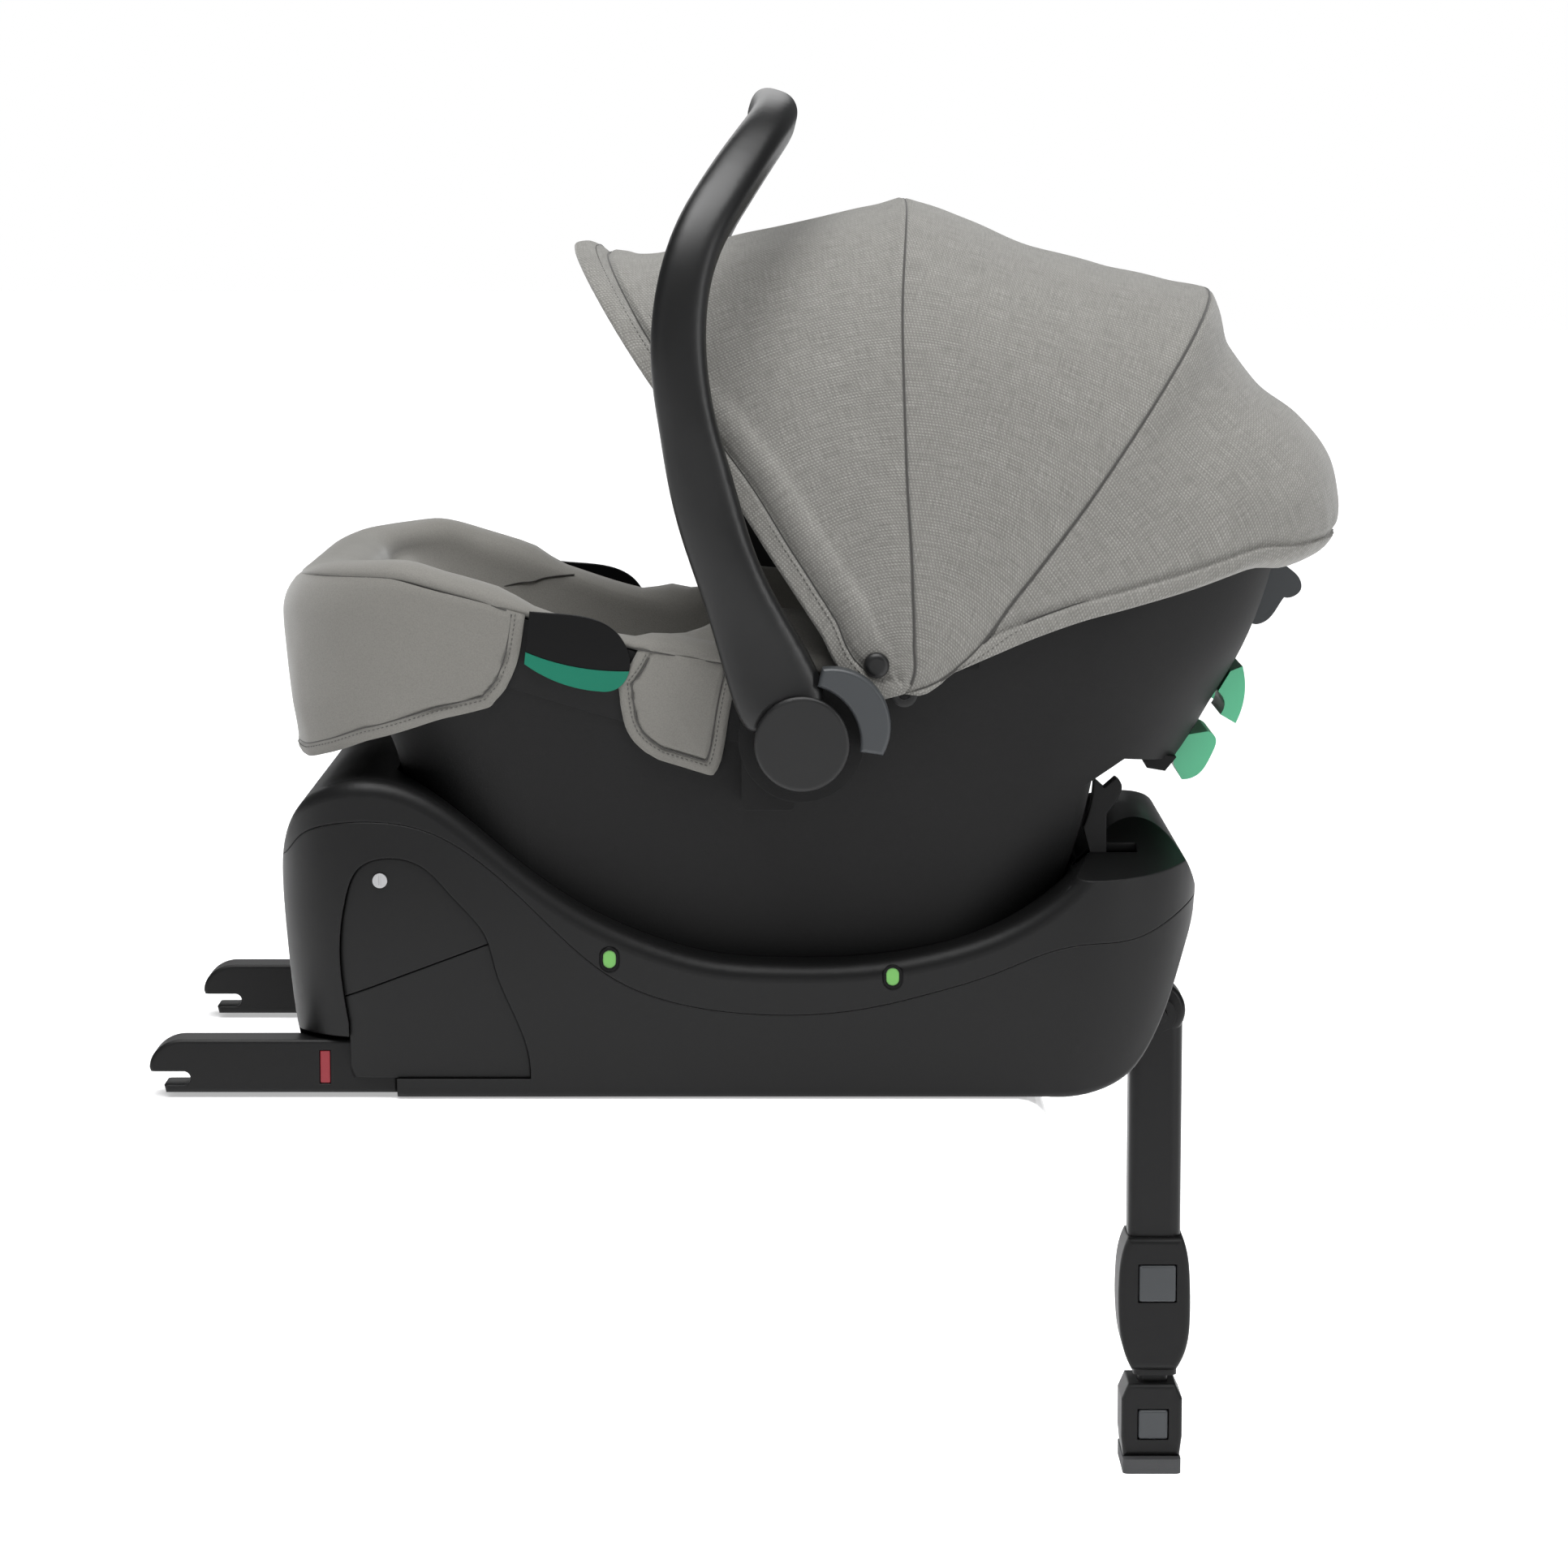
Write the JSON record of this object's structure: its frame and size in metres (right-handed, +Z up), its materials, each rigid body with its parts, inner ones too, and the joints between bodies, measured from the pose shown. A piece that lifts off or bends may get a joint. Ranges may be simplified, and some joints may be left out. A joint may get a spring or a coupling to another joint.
{
  "type": "infant car seat",
  "caption": "Rear-facing infant carrier with carry handle, folding canopy and harness, docked on an anchor base with a folding, extending support leg.",
  "frame": {"origin": "on the mid plane, on the face the base rests on, below the middle of the base", "axes": "+Z up, +X towards the child's head and the support leg, -X towards the anchor arms, Y across"},
  "size_m": [0.7377, 0.4414, 0.8878],
  "materials": {
    "shell_black": "fine grained matte",
    "handle_black": "satin",
    "base_black": "satin",
    "trim_black": "high gloss",
    "button_grey": "satin",
    "dark_green": "satin",
    "guide_green": "satin",
    "window_green": "clear lens",
    "flag_red": "satin",
    "steel": "brushed",
    "dark_steel": "satin powder coat",
    "tube_black": "satin powder coat",
    "foot_rubber": "matte",
    "foam": "moulded foam",
    "cover_grey": "smooth knit",
    "canopy_grey": "melange twill",
    "webbing": "woven webbing",
    "buckle_red": "satin"
  },
  "bodies": {
    "base": {"base_lower": "base_black", "base_upper": "base_black", "base_recess_panel": "base_black", "panel_screw": "steel", "level_bezel": "trim_black", "level_window": "window_green", "leg_hinge_pin": "dark_steel"},
    "anchor_frame": {"isofix_arm": "base_black", "isofix_cross_tube": "dark_steel", "isofix_flag": "flag_red", "isofix_hook_pin": "steel"},
    "anchor_button_left": {"isofix_button_left": "button_grey"},
    "anchor_button_right": {"isofix_button_right": "button_grey"},
    "anchor_hook_left": {"isofix_hook_left": "steel"},
    "anchor_hook_right": {"isofix_hook_right": "steel"},
    "base_button": {"base_release_button": "trim_black"},
    "latch_hooks": {"carrier_latch_hook": "base_black"},
    "leg_upper": {"leg_outer_tube": "tube_black", "leg_upper_housing": "base_black", "leg_collar": "base_black"},
    "leg_upper_press_left": {"leg_upper_button_left": "button_grey"},
    "leg_upper_press_right": {"leg_upper_button_right": "button_grey"},
    "leg_middle": {"leg_middle_tube": "tube_black", "leg_lower_housing": "base_black"},
    "leg_lower_press_left": {"leg_lower_button_left": "button_grey"},
    "leg_lower_press_right": {"leg_lower_button_right": "button_grey"},
    "leg_foot": {"leg_inner_tube": "tube_black", "leg_foot_pad": "foot_rubber"},
    "carrier": {"carrier_shell": "shell_black", "foam_liner": "foam", "seat_cover": "cover_grey", "seat_pad": "cover_grey", "side_wing": "trim_black", "wing_strip": "dark_green", "belt_guide": "guide_green", "lever_mount": "button_grey", "harness_strap": "webbing", "shoulder_pad": "cover_grey", "harness_tongue": "trim_black", "crotch_strap": "webbing", "buckle_body": "trim_black", "adjuster_bezel": "shell_black", "canopy_rear_panel": "canopy_grey", "rear_bow": "handle_black"},
    "headrest": {"headrest": "cover_grey"},
    "lever": {"release_lever": "button_grey"},
    "buckle_press": {"buckle_button": "buckle_red"},
    "adjuster_press": {"adjuster_button": "button_grey"},
    "handle": {"carry_handle": "handle_black", "hub_cap": "handle_black"},
    "handle_press_left": {"handle_button_left": "button_grey"},
    "handle_press_right": {"handle_button_right": "button_grey"},
    "canopy_mid": {"mid_bow": "handle_black", "canopy_mid_panel": "canopy_grey"},
    "canopy_front": {"front_bow": "handle_black", "canopy_front_panel": "canopy_grey", "canopy_stud": "handle_black"}
  },
  "joints": [
    {"name": "carrier_lift", "type": "slide", "parent": "base", "child": "carrier", "axis": [0, 0, 1], "range_m": [0, 0.25]},
    {"name": "isofix_slide", "type": "slide", "parent": "base", "child": "anchor_frame", "axis": [1, 0, 0], "range_m": [0, 0.06]},
    {"name": "isofix_release_left", "type": "slide", "parent": "anchor_frame", "child": "anchor_button_left", "axis": [-1, 0, 0], "range_m": [0, 0.008], "stiffness_N_per_m": 600, "springref_m": -0.002},
    {"name": "isofix_release_right", "type": "slide", "parent": "anchor_frame", "child": "anchor_button_right", "axis": [-1, 0, 0], "range_m": [0, 0.008], "stiffness_N_per_m": 600, "springref_m": -0.002},
    {"name": "isofix_hook_turn_left", "type": "hinge", "parent": "anchor_frame", "child": "anchor_hook_left", "pos_m": [-0.334, -0.14, 0.0265], "axis": [0, 1, 0], "range_deg": [0, 24]},
    {"name": "isofix_hook_turn_right", "type": "hinge", "parent": "anchor_frame", "child": "anchor_hook_right", "pos_m": [-0.334, 0.14, 0.0265], "axis": [0, 1, 0], "range_deg": [0, 24]},
    {"name": "base_release", "type": "slide", "parent": "base", "child": "base_button", "axis": [-1, 0, 0], "range_m": [0, 0.006], "stiffness_N_per_m": 600, "springref_m": -0.002},
    {"name": "latch_hook_turn", "type": "hinge", "parent": "base", "child": "latch_hooks", "pos_m": [0.2195, 0, 0.158], "axis": [0, 1, 0], "range_deg": [0, 12]},
    {"name": "leg_fold", "type": "hinge", "parent": "base", "child": "leg_upper", "pos_m": [0.272, 0, 0.029], "axis": [0, -1, 0], "range_deg": [-90, 0]},
    {"name": "leg_upper_press_left", "type": "slide", "parent": "leg_upper", "child": "leg_upper_press_left", "axis": [0, 1, 0], "range_m": [0, 0.0025], "stiffness_N_per_m": 600, "springref_m": -0.002},
    {"name": "leg_upper_press_right", "type": "slide", "parent": "leg_upper", "child": "leg_upper_press_right", "axis": [0, -1, 0], "range_m": [0, 0.0025], "stiffness_N_per_m": 600, "springref_m": -0.002},
    {"name": "leg_extend_middle", "type": "slide", "parent": "leg_upper", "child": "leg_middle", "axis": [0, 0, -1], "range_m": [0, 0.15]},
    {"name": "leg_lower_press_left", "type": "slide", "parent": "leg_middle", "child": "leg_lower_press_left", "axis": [0, 1, 0], "range_m": [0, 0.0025], "stiffness_N_per_m": 600, "springref_m": -0.002},
    {"name": "leg_lower_press_right", "type": "slide", "parent": "leg_middle", "child": "leg_lower_press_right", "axis": [0, -1, 0], "range_m": [0, 0.0025], "stiffness_N_per_m": 600, "springref_m": -0.002},
    {"name": "leg_extend_foot", "type": "slide", "parent": "leg_middle", "child": "leg_foot", "axis": [0, 0, -1], "range_m": [0, 0.1]},
    {"name": "headrest_slide", "type": "slide", "parent": "carrier", "child": "headrest", "axis": [0.749, 0, 0.6626], "range_m": [0, 0.06]},
    {"name": "release_lever_pull", "type": "hinge", "parent": "carrier", "child": "lever", "pos_m": [0.336, 0, 0.325], "axis": [0, -1, 0], "range_deg": [0, 15], "stiffness_Nm_per_rad": 1.5, "springref_deg": -11.46},
    {"name": "buckle_press", "type": "slide", "parent": "carrier", "child": "buckle_press", "axis": [0, 0, -1], "range_m": [0, 0.0035], "stiffness_N_per_m": 600, "springref_m": -0.002},
    {"name": "adjuster_press", "type": "slide", "parent": "carrier", "child": "adjuster_press", "axis": [-0.7071, 0, -0.7071], "range_m": [0, 0.003], "stiffness_N_per_m": 600, "springref_m": -0.002},
    {"name": "handle_swing", "type": "hinge", "parent": "carrier", "child": "handle", "pos_m": [0.0434, 0, 0.2255], "axis": [0, 1, 0], "range_deg": [-98, 26]},
    {"name": "handle_press_left", "type": "slide", "parent": "handle", "child": "handle_press_left", "axis": [0, 1, 0], "range_m": [0, 0.004], "stiffness_N_per_m": 600, "springref_m": -0.002},
    {"name": "handle_press_right", "type": "slide", "parent": "handle", "child": "handle_press_right", "axis": [0, -1, 0], "range_m": [0, 0.004], "stiffness_N_per_m": 600, "springref_m": -0.002},
    {"name": "canopy_mid_fold", "type": "hinge", "parent": "carrier", "child": "canopy_mid", "pos_m": [0.105, 0, 0.252], "axis": [0, 1, 0], "range_deg": [0, 30], "deforming": ["canopy_mid_panel"]},
    {"name": "canopy_front_fold", "type": "hinge", "parent": "canopy_mid", "child": "canopy_front", "pos_m": [0.105, 0, 0.252], "axis": [0, 1, 0], "range_deg": [0, 30], "deforming": ["canopy_front_panel"]}
  ],
  "couplings": [
    {"joint": "isofix_hook_turn_left", "follows": "isofix_release_left", "rad_per_m": 52.359},
    {"joint": "isofix_hook_turn_right", "follows": "isofix_release_right", "rad_per_m": 52.359},
    {"joint": "latch_hook_turn", "follows": "base_release", "rad_per_m": 34.906},
    {"joint": "canopy_front_fold", "follows": "canopy_mid_fold", "ratio": 1}
  ]
}
